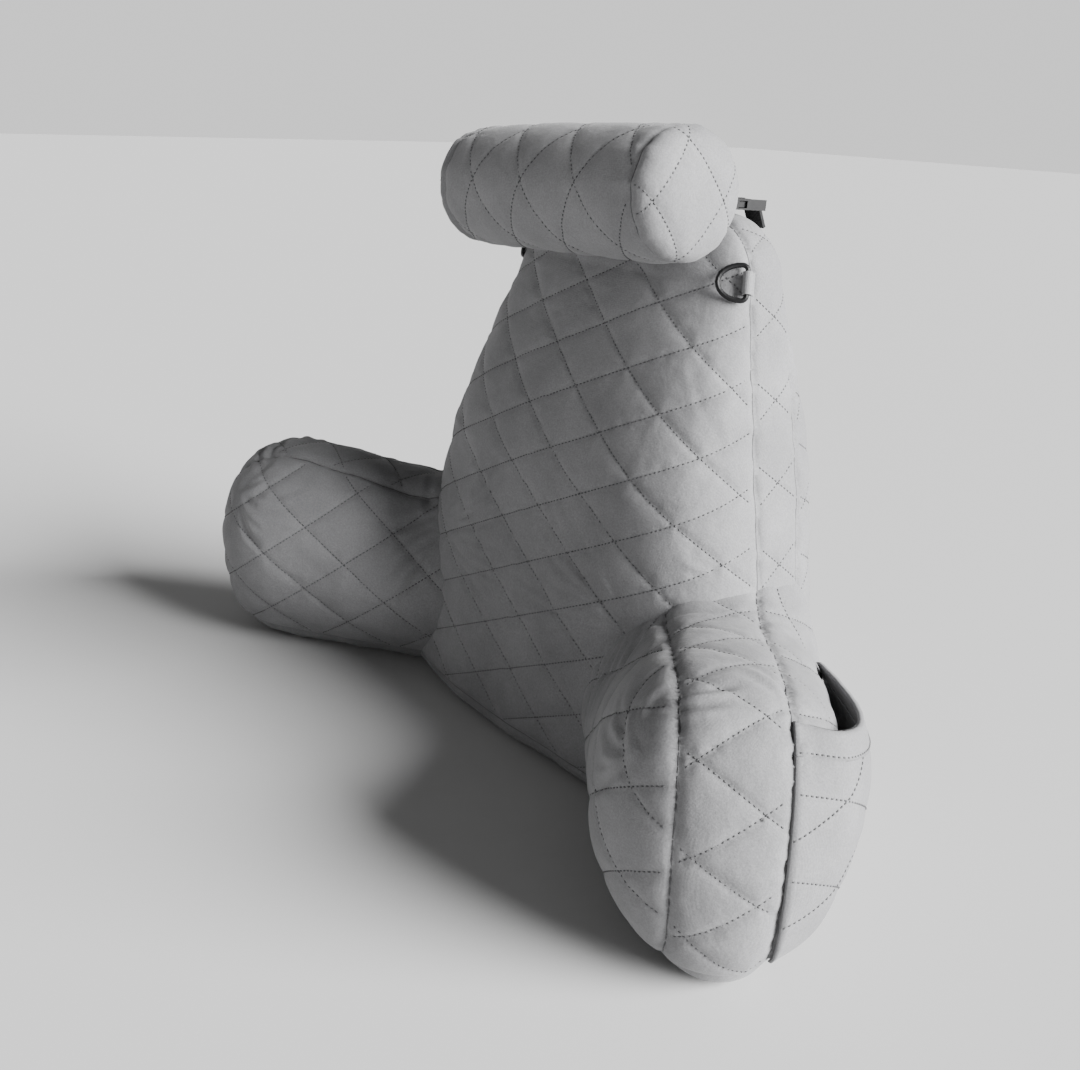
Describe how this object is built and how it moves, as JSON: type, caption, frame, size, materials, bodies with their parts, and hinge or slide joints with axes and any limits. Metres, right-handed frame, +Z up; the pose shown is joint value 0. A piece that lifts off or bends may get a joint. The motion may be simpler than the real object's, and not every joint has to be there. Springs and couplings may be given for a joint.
{
  "type": "backrest cushion",
  "caption": "Quilted backrest cushion with splayed padded arms, a side pocket on each arm, a buckled neck roll on its top edge and D-rings in its side seams.",
  "frame": {"origin": "on the floor under the backrest, in its middle plane", "axes": "+X to the right arm as seen from the front, -Y towards the sitter, +Z up"},
  "size_m": [0.8728, 0.3848, 0.574],
  "materials": {
    "quilted_cover": "soft grey microfibre with a faint sheen, quilted in diamonds",
    "stuffing": "white polyester fibre and shredded foam, matte",
    "black_webbing": "black woven webbing",
    "black_plastic": "black moulded acetal with a satin surface",
    "zip_tape": "dark grey woven zip tape",
    "zip_metal": "dark nickel zip slider"
  },
  "bodies": {
    "root": {"front_panel": "quilted_cover", "boxing_strip": "quilted_cover", "back_panel": "quilted_cover", "base_panel": "quilted_cover", "arm_inner_panel_left": "quilted_cover", "arm_inner_panel_right": "quilted_cover", "arm_gusset_left": "quilted_cover", "arm_gusset_right": "quilted_cover", "arm_outer_panel_left": "quilted_cover", "arm_outer_panel_right": "quilted_cover", "arm_base_panel_left": "quilted_cover", "arm_base_panel_right": "quilted_cover", "pocket_panel_left": "quilted_cover", "pocket_panel_right": "quilted_cover", "pocket_hem_left": "quilted_cover", "pocket_hem_right": "quilted_cover", "d_ring_tab_left": "quilted_cover", "d_ring_tab_right": "quilted_cover", "backrest_fill": "stuffing", "arm_fill_left": "stuffing", "arm_fill_right": "stuffing", "strap_anchor_left": "black_webbing", "strap_anchor_right": "black_webbing", "zip_tape_left": "zip_tape", "zip_tape_right": "zip_tape", "zip_coil": "zip_tape"},
    "buckle_sockets": {"buckle_socket_left": "black_plastic", "buckle_socket_right": "black_plastic"},
    "neck_roll": {"roll_tube": "quilted_cover", "roll_fill": "stuffing", "roll_end_left": "quilted_cover", "roll_end_right": "quilted_cover", "buckle_plug_left": "black_plastic", "buckle_plug_right": "black_plastic", "roll_strap_left": "black_webbing", "roll_strap_right": "black_webbing"},
    "d_ring_left": {"d_ring_left": "black_plastic"},
    "d_ring_right": {"d_ring_right": "black_plastic"},
    "zip_slider": {"zip_slider": "zip_metal"},
    "zip_pull": {"zip_pull": "zip_metal"}
  },
  "joints": [
    {"name": "roll_swing", "type": "hinge", "parent": "root", "child": "buckle_sockets", "pos_m": [0, 0.06173, 0.51459], "axis": [-1, 0, 0], "range_deg": [0, 200]},
    {"name": "roll_release", "type": "slide", "parent": "buckle_sockets", "child": "neck_roll", "axis": [0, -0.9989, 0.0461], "range_m": [0, 0.03]},
    {"name": "d_ring_left_swing", "type": "hinge", "parent": "root", "child": "d_ring_left", "pos_m": [-0.15493, 0.00811, 0.45651], "axis": [-0.2349, -0.2084, -0.9494], "range_deg": [0, 150]},
    {"name": "d_ring_right_swing", "type": "hinge", "parent": "root", "child": "d_ring_right", "pos_m": [0.15493, 0.00811, 0.45651], "axis": [-0.2349, 0.2084, 0.9494], "range_deg": [0, 150]},
    {"name": "zip_slide", "type": "slide", "parent": "root", "child": "zip_slider", "axis": [0, -0.0896, -0.996], "range_m": [0, 0.19]},
    {"name": "zip_pull_swing", "type": "hinge", "parent": "zip_slider", "child": "zip_pull", "pos_m": [0, 0.13344, 0.24898], "axis": [1, 0, 0], "range_deg": [-6, 165]}
  ]
}
